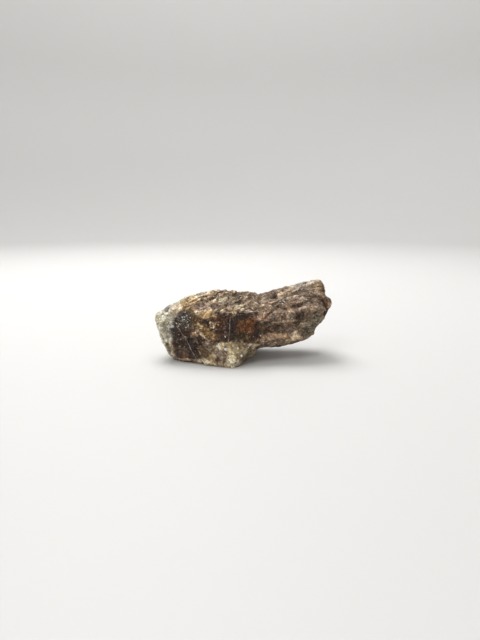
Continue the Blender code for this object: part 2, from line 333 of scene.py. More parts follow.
def noise(points, size, seed):
    """Smooth noise from about -1 to 1: a random slope at each lattice corner, blended between them."""
    place = points / size
    box = np.floor(place).astype(np.int64)
    inside = place - box
    blend = inside**3 * (inside * (inside * 6 - 15) + 10)
    total = np.zeros(points.shape[:-1])
    for corner in itertools.product((0, 1), repeat=3):
        slope = np.stack([scrambled(box + corner, seed + axis) - 0.5 for axis in range(3)], -1)
        weight = np.prod(np.where(np.array(corner) == 1, blend, 1 - blend), -1)
        total += weight * np.sum(slope * (inside - corner), -1)
    return total * NOISE_GAIN


def layered(points, size, seed, layers):
    """Noise summed over layers, each half the size and half the height of the one before."""
    return sum(noise(points, size / 2**k, seed + 17 * k) / 2**k for k in range(layers))


print("noise reaches", np.abs(noise(lump_points, size=2.0, seed=1)).max().round(2))

# %% [markdown]
# ## Chips
#
# The second pattern is chips, because a brittle stone flakes. They are the cells of a random lattice:
# every box of the lattice has one centre somewhere in it, and a point belongs to the nearest one. Each
# cell is a flat facet tilted its own way.

# %% Chips
def cells(points, size, seed):
    """The nearest random cell: the way from its centre, its lattice box, and how far its edge is."""
    box = np.floor(points / size).astype(np.int64)
    nearest = np.full(points.shape[:-1], np.inf)
    second = nearest.copy()
    away, home = np.zeros(points.shape), box.copy()
    for step in itertools.product((-1, 0, 1), repeat=3):
        cell = box + step
        centre = cell + np.stack([scrambled(cell, seed + k) for k in range(3)], -1)
        offset = points - centre * size
        distance = np.sqrt((offset**2).sum(-1))
        closer = distance < nearest
        second = np.where(closer, nearest, np.minimum(second, distance))
        away[closer], home[closer] = offset[closer], cell[closer]
        nearest = np.where(closer, distance, nearest)
    return away / size, home, (second - nearest) / size


def chips(points, size, seed, edge=0.25):
    """Flat facets: each cell's offset times its own random tilt, fading to nothing at the cell's edge."""
    away, home, rim = cells(points, size, seed)
    tilt = np.stack([scrambled(home, seed + k) for k in (3, 4, 5)], -1) - 0.5
    return 2 * np.sum(away * tilt, -1) * np.clip(rim / edge, 0, 1)


print("chips reach", np.abs(chips(lump_points, size=2.0, seed=1)).max().round(2))

# %% [markdown]
# ## Lines
#
# The third pattern is lines: the named ridges, grooves and cracks. Each has a bell-shaped profile round
# a line between two places, and noise bends the line. The soft step that many masks use is here too.

# %% Lines
def smooth_step(value, low, high):
    """From 0 at low to 1 at high, level at both ends: three squares of the share less two cubes of it."""
    share = np.clip((value - low) / (high - low), 0, 1)
    return share * share * (3 - 2 * share)


WAVE_SIZE = 3.6  # how far apart a wavy line's bends are, in millimetres


def line_heights(points, lines, wander, seed):
    """Bell-shaped ridges, and grooves where the peak is negative, round wavy lines between two places."""
    wave = np.stack([noise(points, size=WAVE_SIZE, seed=seed + 10 * axis) for axis in range(3)], -1)
    height = np.zeros(points.shape[:-1])
    for start, end, width, peak in lines.values():
        start = np.array(start)
        line = np.array(end) - start
        away = points + wander * wave - start
        share = np.clip(away @ line / (line @ line), 0, 1)
        distance = np.linalg.norm(away - share[..., None] * line, axis=-1)
        height += peak * np.exp(-((distance / width) ** 2))
    return height


print("a soft step, a quarter of the way:", round(float(smooth_step(0.25, 0, 1)), 3))

# %% [markdown]
# ## The main relief
#
# This is the relief that shows from a step away. The solid has it too, with its chips and ridges a little
# higher: broad swells, chips all over the weathered skin, ridges along the tail, the edges of the broken
# sheets on the brow, and the named ridges and grooves. The glassy break keeps only a quarter of the chips.

# %% The main relief
CREASES = {  # both ends, the width and the peak of each named ridge or groove, in millimetres
    "skyline notch": ((7.8, 1.9, 18.6), (11.6, 1.9, 19.5), 0.9, -0.9),
    "upper groove": ((13.6, -2.9, 16.1), (20.8, -2.2, 17.4), 1.3, -0.6),
    "upper ridge": ((10.6, -4.4, 13.8), (21.2, -3.3, 15.9), 1.1, 0.6),
    "middle ridge": ((7.4, -6.0, 11.2), (17.8, -4.4, 12.8), 0.9, 0.5),
    "middle groove": ((4.4, -7.0, 9.8), (17.5, -3.9, 9.9), 1.4, -0.7),
    "lower ridge": ((4.4, -6.8, 7.7), (16.9, -3.4, 6.9), 1.3, 0.5),
    "sill": ((-12.6, -8.6, 5.2), (-1.4, -9.6, 5.8), 1.1, 0.7),
    "brow groove": ((-19.4, -2.6, 15.3), (-9.6, 0.4, 18.9), 0.9, -0.6),
    "brow ridge": ((-17.6, -3.6, 15.6), (-5.8, -0.6, 18.8), 1.0, 0.5),
}
WANDER = 0.8  # how far the creases stray from straight lines
SWELL = 0.55  # heights in millimetres
BIG_CHIPS = 0.65
SMALL_CHIPS = 0.28
TAIL_RIDGES = 0.20
BROW_LEDGES = 0.5
GLASSY_SHARE = 0.25
TAIL_WAY = np.array((0.94, 0.08, 0.33))  # along the tail
TAIL_SQUEEZE = 0.86
LEDGE_WAY = np.array((-0.50, 0.40, 0.77))  # across the brow's sheets
LEDGE_WIDTH = 2.1
LEDGE_DROP = 0.72  # share of the width after which a ledge drops


def along_tail(points):
    """The points with the tail's own direction squeezed to a seventh, so patterns stretch along it."""
    return points - TAIL_SQUEEZE * (points @ TAIL_WAY)[..., None] * TAIL_WAY


def tail_ridges(points):
    """Folded noise, highest where the noise crosses nought: a coarse layer and a finer one."""
    squeezed = along_tail(points)
    coarse = 0.5 - 1.5 * np.abs(noise(squeezed, size=3.1, seed=90))
    fine = 0.5 - 1.5 * np.abs(noise(squeezed, size=1.4, seed=96))
    return coarse + 0.4 * fine


def brow_ledges(points):
    """Edges of the brow's broken sheets: a sawtooth across them that rises slowly, then drops."""
    level = points @ LEDGE_WAY / LEDGE_WIDTH + 0.8 * noise(points, size=6.0, seed=120)
    share = level - np.floor(level)
    return share * smooth_step(share, 1.0, LEDGE_DROP) - 0.3


def main_relief(points, normals):
    """The sum of swells, creases, chips, ridges and ledges, each times a soft mask of where it belongs."""
    x, z = points[..., 0], points[..., 2]
    faces_front = smooth_step(-normals[..., 1] - 0.25 * normals[..., 2], 0.45, 0.8)
    on_break = faces_front * smooth_step(x, 5.0, 2.0) * smooth_step(z, 15.6, 13.6)
    on_tail = smooth_step(x, 1.0, 7.0)
    on_brow = smooth_step(z, 13.6, 15.4) * smooth_step(normals[..., 2], 0.1, 0.5) * (1 - on_tail)

    height = SWELL * layered(points, size=7.0, seed=3, layers=2)
    height += line_heights(points, CREASES, WANDER, seed=210)
    chipped = BIG_CHIPS * chips(points, size=4.6, seed=40) + SMALL_CHIPS * chips(points, size=2.1, seed=60)
    height += chipped * (1 - (1 - GLASSY_SHARE) * on_break)
    height += TAIL_RIDGES * on_tail * tail_ridges(points)
    height += BROW_LEDGES * on_brow * brow_ledges(points)
    return height


main_heights = main_relief(lump_points, lump_normals)
print("main relief", main_heights.min().round(2), "to", main_heights.max().round(2), "mm")

# %% [markdown]
# ## Where each skin is
#
# The stone wears five skins: dark glass on the break, pale crust on the left end, green-yellow crystal
# on the foot, ochre sheets on the brow and umber crust on the tail and the back. Each gets a mask from 0
# to 1. The edges of the break, the foot and the pale end are a few places along a line, read with
# straight steps between them, and noise frays them so that no edge looks drawn.

# %% Masks of the skins
# Lines in millimetres: (x, z) for the break's top and foot, and (z, x) for the edge of the pale end.
BREAK_TOP = (
    (-21.0, 13.0), (-18.5, 14.4), (-16.4, 14.6), (-13.8, 14.3), (-12.4, 13.5), (-10.2, 13.0), (-8.6, 14.5),
    (-6.0, 14.7), (-4.4, 15.6), (-2.6, 14.3), (-0.6, 15.4), (1.4, 15.6), (2.6, 14.4), (4.5, 12.0),
)
BREAK_FOOT = ((-21.0, -0.6), (-13.4, 0.4), (-11.8, 3.0), (-9.0, 6.0), (-6.0, 7.2), (2.0, 6.6), (6.0, 5.4))
BREAK_RIGHT = 4.2
IVORY_EDGE = ((-1.0, -19.8), (5.0, -20.8), (9.6, -21.4), (11.6, -20.4), (13.6, -19.6), (18.0, -18.9))
FRAY = 1.1  # how far noise moves the edge of a skin, in millimetres


def read_line(value, line):
    """The height of a line of straight steps at each value."""
    places, heights = np.array(line).T
    return np.interp(value, places, heights)


def skin_masks(points, normals):
    """Soft masks from 0 to 1: each is a product of steps, about half a millimetre wide, across its edges."""
    fray = [layered(points, size=3.0, seed=300 + 10 * axis, layers=4) for axis in range(3)]
    frayed = points + FRAY * np.stack(fray, -1)
    x, y, z = frayed[:, 0], frayed[:, 1], frayed[:, 2]
    front = smooth_step(-normals[:, 1] - 0.25 * normals[:, 2], 0.35, 0.6)
    ivory = smooth_step(read_line(z, IVORY_EDGE) - x, -0.5, 0.6)
    above_foot = smooth_step(z - read_line(x, BREAK_FOOT), -0.25, 0.25)
    below_brow = smooth_step(read_line(x, BREAK_TOP) - z, -0.25, 0.25)
    glassy = front * above_foot * below_brow * smooth_step(BREAK_RIGHT - x, -0.3, 0.5) * (1 - ivory)
    on_head = smooth_step(5.6 - x, -0.6, 0.6)
    foot = (1 - above_foot) * on_head * (1 - ivory) * smooth_step(-y, 1.0, 3.0)
    bare = (1 - ivory) * (1 - glassy) * (1 - foot)
    brow = bare * smooth_step(x, 3.5, -1.5) * smooth_step(z, 11.0, 13.0) * smooth_step(y, 5.0, 1.5)
    return {"ivory": ivory, "glassy": glassy, "foot": foot, "brow": brow, "crust": bare - brow}


masks = skin_masks(lump_points, lump_normals)
print({name: f"{mask.mean():.0%}" for name, mask in masks.items()})

# %% [markdown]
# ## Flakes
#
# The solid stops at forms about 2 mm wide. Here the grid is a fifth of a millimetre, so the skin gets
# what a fingertip would feel. A brittle stone breaks into flakes: each has its own lean and its own
# tone, and the gap between two is painted darker, as shade. So relief and colour come from the same
# cells. The flakes are thin across the brow's sheets, long along the tail, small and sugary on the pale
# skins, and shallow on the glass.

# %% Layers of flakes
NO_WAY, UP = np.zeros(3), np.array((0.0, 0.0, 1.0))
FLAKES = {  # skins, way and share it is squeezed by, size, lean, gap depth, tone; sizes in millimetres
    "brow sheets": (("brow",), LEDGE_WAY, -1.6, 3.4, 0.28, 0.04, 0.28),
    "brow chips": (("brow",), LEDGE_WAY, -0.8, 1.3, 0.15, 0.02, 0.32),
    "brow grains": (("brow",), LEDGE_WAY, -0.3, 0.55, 0.11, 0.01, 0.44),
    "crust slabs": (("crust",), TAIL_WAY, 0.50, 4.2, 0.20, 0.04, 0.12),
    "crust slivers": (("crust",), TAIL_WAY, 0.40, 1.7, 0.13, 0.03, 0.18),
    "crust chips": (("crust",), NO_WAY, 0, 0.9, 0.11, 0.02, 0.28),
    "crust grains": (("crust",), NO_WAY, 0, 0.5, 0.07, 0.01, 0.36),
    "foot lumps": (("foot",), NO_WAY, 0, 2.4, 0.24, 0.06, 0.24),
    "pale sugar": (("foot", "ivory"), NO_WAY, 0, 1.0, 0.13, 0.03, 0.26),
    "fine sugar": (("foot", "ivory"), NO_WAY, 0, 0.5, 0.09, 0.02, 0.30),
    "glass faces": (("glassy",), NO_WAY, 0, 2.3, 0.16, 0.00, 0.34),
    "glass chips": (("glassy",), NO_WAY, 0, 1.1, 0.10, 0.00, 0.46),
    "glass grains": (("glassy",), NO_WAY, 0, 0.55, 0.05, 0.00, 0.60),
}
GAP = 0.10  # half a gap's width, as a share of a flake's size
# Painted shade: the gap between two flakes is painted darker.
GAP_SHADE = 6  # how much darker a gap gets for each millimetre of its depth
STEP = 0.5  # how far flakes stand above or below each other, as a share of their lean
CRUMPLE = 0.35  # how far noise bends the flakes' edges, as a share of their size


def squeezed(points, way, share):
    """The points with that share of their reach along one way taken out, or added where it is negative."""
    return points - share * (points @ way)[:, None] * way


def flake_layer(points, size, seed):
    """Level, tone and gap of random cells: the offset times a tilt plus a step, a dice, how near the rim."""
    bend = np.stack([noise(points, size, seed + 20 + 5 * axis) for axis in range(3)], -1)
    away, home, rim = cells(points + CRUMPLE * size * bend, size, seed)
    tilt = np.stack([scrambled(home, seed + k) for k in (3, 4, 5)], -1) - 0.5
    level = 2 * np.sum(away * tilt, -1) + STEP * (2 * scrambled(home, seed + 7) - 1)
    return level, 2 * scrambled(home, seed + 6) - 1, smooth_step(rim, GAP, 0.0)


def all_flakes(points, masks):
    """Height and tone of all the layers together, each worked out only where its skins lie."""
    height, tone = np.zeros(len(points)), np.zeros(len(points))
    for count, (skins, way, share, size, lean, gap_depth, swing) in enumerate(FLAKES.values()):
        mask = sum(masks[name] for name in skins)
        on = mask > 0.01
        level, dice, gap = flake_layer(squeezed(points[on], way, share), size, 400 + 60 * count)
        height[on] += mask[on] * (lean * level - gap_depth * gap)
        # Each flake's tone is its own dice, less painted shade in its gap.
        tone[on] += mask[on] * (swing * dice - GAP_SHADE * gap_depth * gap)
    return height, tone


flake_heights, flake_tones = all_flakes(lump_points, masks)
print("flakes", flake_heights.min().round(2), "to", flake_heights.max().round(2), "mm")

# %% [markdown]
# ## Grit, ribs, cracks and pits
#
# Between the flakes lie finer things. The crust is gritty. The glass carries faint ribs that spread
# from where it was struck, as on a broken bottle, and a few open cracks cross it. A row of small pits
# runs down beside the pale left edge, and a deep step parts the nub from the tail.

# %% Grit, ribs, cracks and pits
CRACKS = {  # both ends, the width and the peak, in millimetres
    "upright crack": ((-3.9, -8.6, 14.3), (-5.2, -9.6, 6.9), 0.2, -0.14),
    "slanting crack": ((-19.4, -5.0, 9.4), (-14.0, -7.8, 2.1), 0.2, -0.12),
    "short crack": ((-13.8, -7.0, 12.6), (-12.4, -8.2, 8.0), 0.18, -0.12),
    "step behind the nub": ((23.6, 1.6, 19.6), (24.3, -1.2, 13.4), 0.6, -1.0),
}
PITS = {
    "upper pit": ((-22.8, -4.9, 5.0), (-22.5, -4.9, 4.2), 0.5, -0.7),
    "middle pit": ((-22.2, -4.9, 3.1), (-22.0, -4.9, 2.5), 0.4, -0.6),
    "lower pit": ((-21.2, -5.0, 1.2), (-20.7, -5.0, 0.9), 0.4, -0.6),
}
STRUCK = np.array((-21.0, -7.0, 12.0))  # where the blow that opened the break landed
RIB_GAP = 1.5
GRIT, RIBS = 0.16, 0.03  # heights in millimetres
GRIT_OFF_GLASS = 0.85  # share of the grit that the glass does without
RUBBED_FINE, RUBBED_MAIN = 0.6, 0.4  # shares of the two reliefs that are rubbed off the belly


def small_relief(points, masks):
    """Layered noise for grit, folded noise for streaks, a sine of the distance for ribs, and the lines."""
    grit = GRIT * layered(points, size=1.7, seed=1400, layers=4)
    streaks = 0.07 - 0.15 * np.abs(noise(squeezed(points, TAIL_WAY, 0.5), size=0.8, seed=1440))
    ribs = RIBS * np.sin(np.linalg.norm(points - STRUCK, axis=-1) * 2 * math.pi / RIB_GAP)
    gritty = grit * (1 - GRIT_OFF_GLASS * masks["glassy"])
    lines = line_heights(points, CRACKS, wander=0.25, seed=1500)
    lines += line_heights(points, PITS, wander=0.3, seed=1510)
    return gritty + masks["crust"] * streaks + masks["glassy"] * ribs + lines


belly = smooth_step(lump_points[:, 0], 2, 5) * smooth_step(lump_points[:, 2], 7.0, 5.0)  # under the tail
fine_heights = (flake_heights + small_relief(lump_points, masks)) * (1 - RUBBED_FINE * belly)
print("fine relief", fine_heights.min().round(2), "to", fine_heights.max().round(2), "mm")

# %% [markdown]
# ## The skin as a mesh
#
# Each point moves along its normal by the two reliefs together. What falls under the ground is
# drawn back along its ray to it, so the foot is flat. The grid's rows and columns become quads,
# and a fan of triangles closes each pole.

# %% Build the skin
SHARP = 38  # two faces that meet at a wider angle than this, in degrees, keep a crisp edge


def stand_on_ground(points, start):
    """Moves each point that is under nought back along its ray, to where the ray meets nought."""
    under = points[:, 2] < 0
    share = np.where(under, start[:, 2] / (start[:, 2] - np.minimum(points[:, 2], 0)), 1)
    points = start + (points - start) * share[:, None]
    points[under, 2] = 0
    return points


def grid_faces(rows, columns):
    """Quads between neighbouring rays, wound to face outwards, and a fan of triangles at each pole."""
    index = np.arange((rows - 1) * columns).reshape(rows - 1, columns)
    beside = np.roll(index, -1, axis=1)
    quads = np.stack([index[:-1], index[1:], beside[1:], beside[:-1]], -1).reshape(-1, 4)
    left = np.stack([np.full(columns, index.size), index[0], beside[0]], -1)
    right = np.stack([np.full(columns, index.size + 1), beside[-1], index[-1]], -1)
    return quads.tolist() + left.tolist() + right.tolist()


def make_skin(points):
    """The mesh of the points and their grid's faces, moved from the corners' frame to the part's."""
    mesh = bpy.data.meshes.new("stone_skin")
    mesh.from_pydata(((points - BOX_MIDDLE) * MM).tolist(), [], grid_faces(ROWS, COLUMNS))
    mesh.shade_smooth()
    mesh.set_sharp_from_angle(angle=math.radians(SHARP))
    skin = bpy.data.objects.new("stone_skin", mesh)
    bpy.context.scene.collection.objects.link(skin)
    return skin


above_cut = smooth_step(lump_points[:, 2], -0.5, 0.3)
heights = (main_heights * (1 - RUBBED_MAIN * belly) + fine_heights) * above_cut
skin_points = stand_on_ground(lump_points + heights[:, None] * lump_normals, ray_start)
skin = make_skin(skin_points)
print("stone_skin:", len(skin.data.polygons), "faces")

# %% [markdown]
# ## Palettes
#
# Each skin has a short palette from dark to light, as a painter would lay it out. A tone from 0 to 1 picks
# a colour from it, with straight steps between neighbours. Screen colours are easier to judge, so
# they are written as such and turned into linear light, which is what shaders mix.

# %% Palettes and pigments
PALETTES = {  # screen colours, dark to light
    "crust": ((60, 44, 33), (94, 75, 58), (124, 102, 83), (152, 130, 106), (194, 172, 144)),
    "brow": ((66, 52, 46), (112, 92, 76), (156, 133, 107), (194, 171, 138), (232, 216, 190)),
    "ivory": ((108, 100, 82), (158, 148, 124), (194, 184, 158), (214, 206, 184), (238, 234, 218)),
    "foot": ((84, 64, 46), (128, 104, 78), (164, 143, 110), (198, 179, 145), (228, 215, 192)),
    "glassy": ((26, 15, 8), (50, 31, 15), (80, 51, 24), (114, 78, 38), (164, 128, 82)),
}
PIGMENTS = {
    "white": (244, 240, 230), "cream": (220, 208, 180), "pale green": (200, 186, 150),
    "pale grey": (204, 190, 172), "vein tan": (206, 178, 142), "line grey": (196, 180, 168),
    "ochre": (192, 158, 110), "orange": (176, 140, 110), "tan": (190, 160, 130), "gold": (160, 122, 70),
    "olive green": (132, 114, 78), "olive grey": (104, 96, 80),
    "amber": (116, 68, 26), "rust": (92, 66, 44), "red brown": (56, 28, 8), "brown": (112, 86, 54),
    "dark gold": (94, 66, 22), "olive": (62, 52, 25), "dark brown": (80, 59, 44), "umber": (116, 97, 80),
    "purple grey": (150, 127, 115), "grey": (146, 134, 114), "dark grey": (98, 88, 70),
    "blue black": (76, 70, 69), "black": (40, 27, 22),
}


def to_linear(screen):
    """Screen colours from 0 to 255 as linear light: a straight part near black, then a power of 2.4."""
    value = np.asarray(screen, float) / 255
    return np.where(value <= 0.04045, value / 12.92, ((value + 0.055) / 1.055) ** 2.4)


def pick(tone, palette):
    """The palette's colour at each tone, with straight steps between neighbours."""
    stops = to_linear(palette)
    places = np.linspace(0, 1, len(stops))
    return np.stack([np.interp(tone, places, stops[:, channel]) for channel in range(3)], -1)


print(len(PALETTES), "palettes and", len(PIGMENTS), "pigments")

# %% [markdown]
# ## Patches
#
# Patches that are worth a name, such as the amber glow in the glass, pull the colour towards a pigment of
# their own. A few are painted shade, in grooves, the nub's step and under the tail, and a few are painted
# highlights, on a ridge and as glints. Painting them by hand would need an image. An ellipse as seen from
# the front is enough here, because noise breaks up its edge until it looks grown. Deep in the glass the
# edges are softer still.

# %% Patches
# Each has a pigment, a middle (x, z), half a length and height, a slope in degrees and a strength.
PATCHES = {
    "corner of the pale end": ("cream", (-25.3, 12.6), (1.6, 2.0), 0, 0.6),
    "fleck on the pale end's edge": ("blue black", (-22.7, 15.4), (1.0, 0.6), 25, 0.85),
    "shoulder of the pale end": ("tan", (-20.2, 15.4), (1.8, 1.1), 25, 0.6),
    "grey of the pale end": ("grey", (-22.9, 8.5), (1.5, 1.5), -30, 0.6),
    "pitted strip": ("dark grey", (-22.0, 4.2), (0.45, 2.4), 17, 0.75),
    "pale strip": ("tan", (-21.0, 3.6), (0.4, 2.7), 17, 0.6),
    "black shoulder": ("black", (-20.0, 8.3), (1.3, 3.4), 12, 0.9),
    "blue black top": ("blue black", (-17.5, 13.3), (2.5, 1.5), 0, 0.85),
    "flecked band": ("dark grey", (-17.5, 10.9), (2.0, 1.0), -20, 0.45),
    "dark gold top": ("dark gold", (-13.7, 12.3), (1.9, 2.6), 0, 0.95),
    "brown left": ("red brown", (-17.0, 8.5), (1.8, 1.2), -20, 0.7),
    "pale islet": ("tan", (-13.6, 8.9), (1.8, 0.8), 25, 0.7),
    "vein": ("gold", (-11.3, 10.2), (1.5, 1.5), 15, 0.6),
    "vein's end": ("gold", (-9.2, 8.6), (1.6, 1.0), -30, 0.5),
    "rust under the brow": ("rust", (-8.6, 14.0), (2.4, 1.1), 0, 0.75),
    "red brown middle": ("red brown", (-6.2, 10.9), (1.6, 3.0), 0, 0.85),
    "black middle": ("black", (-3.1, 10.7), (1.8, 3.3), 0, 0.8),
    "amber glow": ("amber", (1.2, 11.0), (3.2, 2.2), 10, 0.65),
    "amber by the cheek": ("amber", (2.6, 12.6), (1.4, 1.2), 0, 0.5),
    "olive shade": ("olive", (-1.1, 8.4), (2.3, 1.1), 0, 0.8),
    "black roof": ("black", (0.6, 14.1), (3.3, 1.0), 0, 0.5),
    "purple black hollow": ("black", (-14.2, 4.8), (3.3, 2.7), 15, 0.85),
    "grey islet": ("umber", (-9.8, 6.3), (1.7, 1.2), 30, 0.6),
    "low left": ("dark brown", (-18.8, 3.1), (1.8, 1.8), 0, 0.7),
    "low brown": ("brown", (-11.2, 3.7), (1.8, 1.2), 0, 0.75),
    "foot's shelf": ("olive green", (-3.7, 6.1), (3.6, 0.8), 0, 0.5),
    "foot's grey": ("purple grey", (-6.5, 3.5), (1.8, 1.2), 0, 0.7),
    "foot's pale heart": ("pale green", (-2.2, 4.2), (2.4, 1.4), -10, 0.75),
    "foot's brown": ("brown", (-9.1, 2.2), (2.7, 0.9), -5, 0.7),
    "foot's tip": ("cream", (-3.1, 1.2), (2.1, 1.2), 0, 0.7),
    "foot's pale rim": ("cream", (-13.0, 1.0), (1.2, 0.6), 0, 0.6),
    "foot's green side": ("dark grey", (0.6, 2.3), (1.5, 1.5), 40, 0.5),
    "heel": ("olive", (4.5, 4.3), (1.8, 1.2), 30, 0.5),
    "rim under the glass": ("tan", (-16.4, 0.9), (3.6, 0.4), 2, 0.75),
    "ochre flank": ("ochre", (-15.9, 17.0), (2.7, 2.1), 30, 0.6),
    "pale crest": ("cream", (-13.1, 19.3), (3.6, 0.8), 20, 0.5),
    "ochre tongue": ("ochre", (-10.6, 14.4), (2.0, 1.0), 0, 0.7),
    "grey streak": ("purple grey", (-11.3, 16.5), (2.7, 0.7), 15, 0.7),
    "cream knob": ("cream", (-6.5, 17.6), (0.8, 0.8), 30, 0.85),
    "brow's hollow": ("dark brown", (-6.3, 16.6), (1.6, 0.8), 30, 0.8),
    "streak on the flank": ("dark brown", (-14.6, 16.0), (1.8, 0.4), 30, 0.35),
    "streak under the crest": ("dark grey", (0.6, 19.6), (1.6, 0.5), 10, 0.7),
    "cream spot": ("cream", (-1.5, 16.5), (0.7, 0.5), 0, 0.8),
    "brown of the brow": ("umber", (0.7, 16.8), (2.1, 1.5), 0, 0.5),
    "tail's pale edge": ("pale grey", (16.4, 21.3), (2.6, 0.9), 18, 0.65),
    "tail's pale corner": ("pale grey", (20.2, 22.6), (3.2, 0.9), 12, 0.65),
    "notch": ("dark brown", (9.7, 19.1), (1.1, 0.3), 5, 0.8),
    "brown end": ("brown", (23.2, 20.8), (1.0, 2.0), 0, 0.75),
    "grey panel": ("umber", (19.6, 19.6), (2.4, 1.5), 10, 0.6),
    "pink panel": ("purple grey", (15.9, 17.8), (1.8, 0.7), 0, 0.6),
    # Painted shade in the upper groove of the tail.
    "painted shade in the upper groove": ("dark brown", (16.7, 16.5), (3.9, 0.6), 3, 0.5),
    "green tinge": ("brown", (12.5, 16.1), (1.8, 1.2), 0, 0.35),
    # Painted highlight along the upper ridge of the tail.
    "painted highlight on the upper ridge": ("tan", (17.5, 15.5), (3.8, 0.6), 12, 0.55),
    "shade under the ridge": ("dark brown", (19.6, 14.3), (1.8, 0.8), 15, 0.5),
    "orange patch": ("orange", (5.9, 13.3), (1.5, 1.1), 0, 0.8),
    "pale line": ("tan", (11.7, 12.2), (3.9, 0.35), 4, 0.75),
    "purple groove": ("dark brown", (11.5, 9.8), (6.2, 1.2), 4, 0.7),
    "orange ridge": ("orange", (9.4, 7.7), (3.9, 0.9), 3, 0.65),
    # Painted shade on the underside of the tail.
    "painted shade under the tail": ("dark brown", (13.9, 4.4), (5.6, 0.9), 8, 0.85),
    "olive facet": ("olive grey", (20.3, 10.9), (2.1, 4.2), -38, 0.8),
    "nub's face": ("rust", (24.9, 16.7), (1.7, 1.6), 0, 0.85),
    "nub's rim": ("tan", (25.7, 15.6), (0.5, 1.2), 10, 0.65),
    # Painted shade in the step between the tail and the nub.
    "painted shade in the nub's step": ("black", (24.0, 15.9), (0.4, 2.4), 21, 0.65),
    "nub's shade": ("dark brown", (24.8, 13.7), (1.3, 0.8), 35, 0.6),
    "brown cheek": ("red brown", (3.5, 10.8), (1.2, 2.1), 0, 0.7),
    # Painted highlights: the four glints below are white spots in the colour.
    "glint on the pale end": ("white", (-20.9, 10.6), (0.42, 0.42), 0, 1.0),
    "glint on the foot": ("white", (-5.1, 5.1), (0.4, 0.35), 0, 0.95),
    "glint on the foot's side": ("white", (-0.7, 3.2), (0.4, 0.35), 0, 0.95),
    "glint on the shelf": ("white", (1.8, 5.9), (0.4, 0.35), 0, 0.95),
}
PATCH_WAVE = 0.38  # how far noise pushes a patch's edge, as a share of its size
RIM, GLASS_RIM = 0.18, 0.35  # softness of a patch's edge, and how much softer it is in the glass


def patch_depth(points, wave, middle, half_size, slope):
    """Depth inside an ellipse seen from the front: one less the turned offset over the half sizes."""
    across, up = points[:, 0] - middle[0], points[:, 2] - middle[1]
    turn = math.radians(slope)
    along = across * math.cos(turn) + up * math.sin(turn)
    over = up * math.cos(turn) - across * math.sin(turn)
    return 1 - np.hypot(along / half_size[0] + wave[0], over / half_size[1] + wave[1])


def edge_wave(points):
    """Two layers of noise that push an ellipse's edge along and across."""
    return tuple(PATCH_WAVE * layered(points, size=2.0, seed=seed, layers=3) for seed in (700, 710))


def add_patches(tint, points, in_front, small, masks):
    """Pulls the tint towards each patch's pigment: the strength times a soft step across the edge."""
    wave = edge_wave(points)
    rim = RIM + GLASS_RIM * masks["glassy"]
    for pigment, middle, half_size, slope, strength in PATCHES.values():
        depth = patch_depth(points, wave, middle, half_size, slope) + 0.25 * small
        share = strength * in_front * smooth_step(depth, -rim, rim)
        tint = tint + share[:, None] * (to_linear(PIGMENTS[pigment]) - tint)
    return tint


print(len(PATCHES), "patches")

# %% [markdown]
# ## Golden veins
#
# A net of golden veins crosses the middle of the break, with a few blotches where they meet. Layered
# noise crosses nought along thin winding curves, so the places where it is nearly nought draw the net,
# and the places where another noise is high make the blotches.

# %% Golden veins
VEINS_MIDDLE, VEINS_SIZE = (-11.2, 9.6), (4.0, 3.6)  # the net's ellipse, seen from the front
VEIN_STRENGTH = 0.80


def add_veins(tint, points, in_front, small, masks):
    """Pulls the tint towards the veins' tan by the larger of net and blotches, inside their ellipse."""
    veined = patch_depth(points, edge_wave(points), VEINS_MIDDLE, VEINS_SIZE, 0)
    veined = masks["glassy"] * in_front * smooth_step(veined, -0.3, 0.3)
    net = smooth_step(np.abs(layered(points, size=2.6, seed=740, layers=4)), 0.10, 0.0)
    net = net * smooth_step(small, -0.3, 0.3)
    blotches = smooth_step(layered(points, size=2.2, seed=750, layers=5), 0.10, 0.35)
    vein = VEIN_STRENGTH * veined * np.maximum(net, blotches)
    return tint + vein[:, None] * (to_linear(PIGMENTS["vein tan"]) - tint)


print("the net of veins spans", [2 * half for half in VEINS_SIZE], "mm")

# %% [markdown]
# ## The tint of every point
#
# The tone is mostly noise, raised on ridges as a painted highlight and lowered in grooves as painted
# shade. On the brow the noise lies along the sheets, on the tail along the tail, and on the foot upright.
# After the patches and the veins, the hue drifts a little between warm and cool, each flake gets its
# own tone with painted shade in its gap, and the fine relief is painted as light and shade once more.

# %% The tint of every point
WARMTH = 0.06


def skin_tones(points, main_heights, fine_heights):
    """A tone for each skin: a middle tone plus broad, small and stretched noise, plus the relief as painted
    light and shade.
    """
    broad = layered(points, size=5.0, seed=600, layers=2)
    small = layered(points, size=1.5, seed=620, layers=3)
    streaky = layered(squeezed(points, TAIL_WAY, 0.66), size=1.2, seed=640, layers=3)
    sheeted = layered(squeezed(points, LEDGE_WAY, -2.2), size=3.0, seed=660, layers=3)
    upright = layered(squeezed(points, UP, 0.7), size=1.1, seed=690, layers=3)
    # Painted highlight where the relief stands up, painted shade where it sinks.
    relief_light_and_shade = 1.3 * fine_heights + 0.15 * main_heights
    tones = {
        "crust": 0.54 + 0.10 * broad + 0.20 * small + 0.12 * streaky + relief_light_and_shade,
        "brow": 0.47 + 0.14 * broad + 0.12 * small + 0.40 * sheeted + relief_light_and_shade,
        "ivory": 0.66 + 0.12 * broad + 0.24 * small + relief_light_and_shade,
        "foot": 0.54 + 0.14 * broad + 0.16 * small + 0.24 * upright + relief_light_and_shade,
        "glassy": 0.34 + 0.24 * broad + 0.20 * small,
    }
    return tones, small


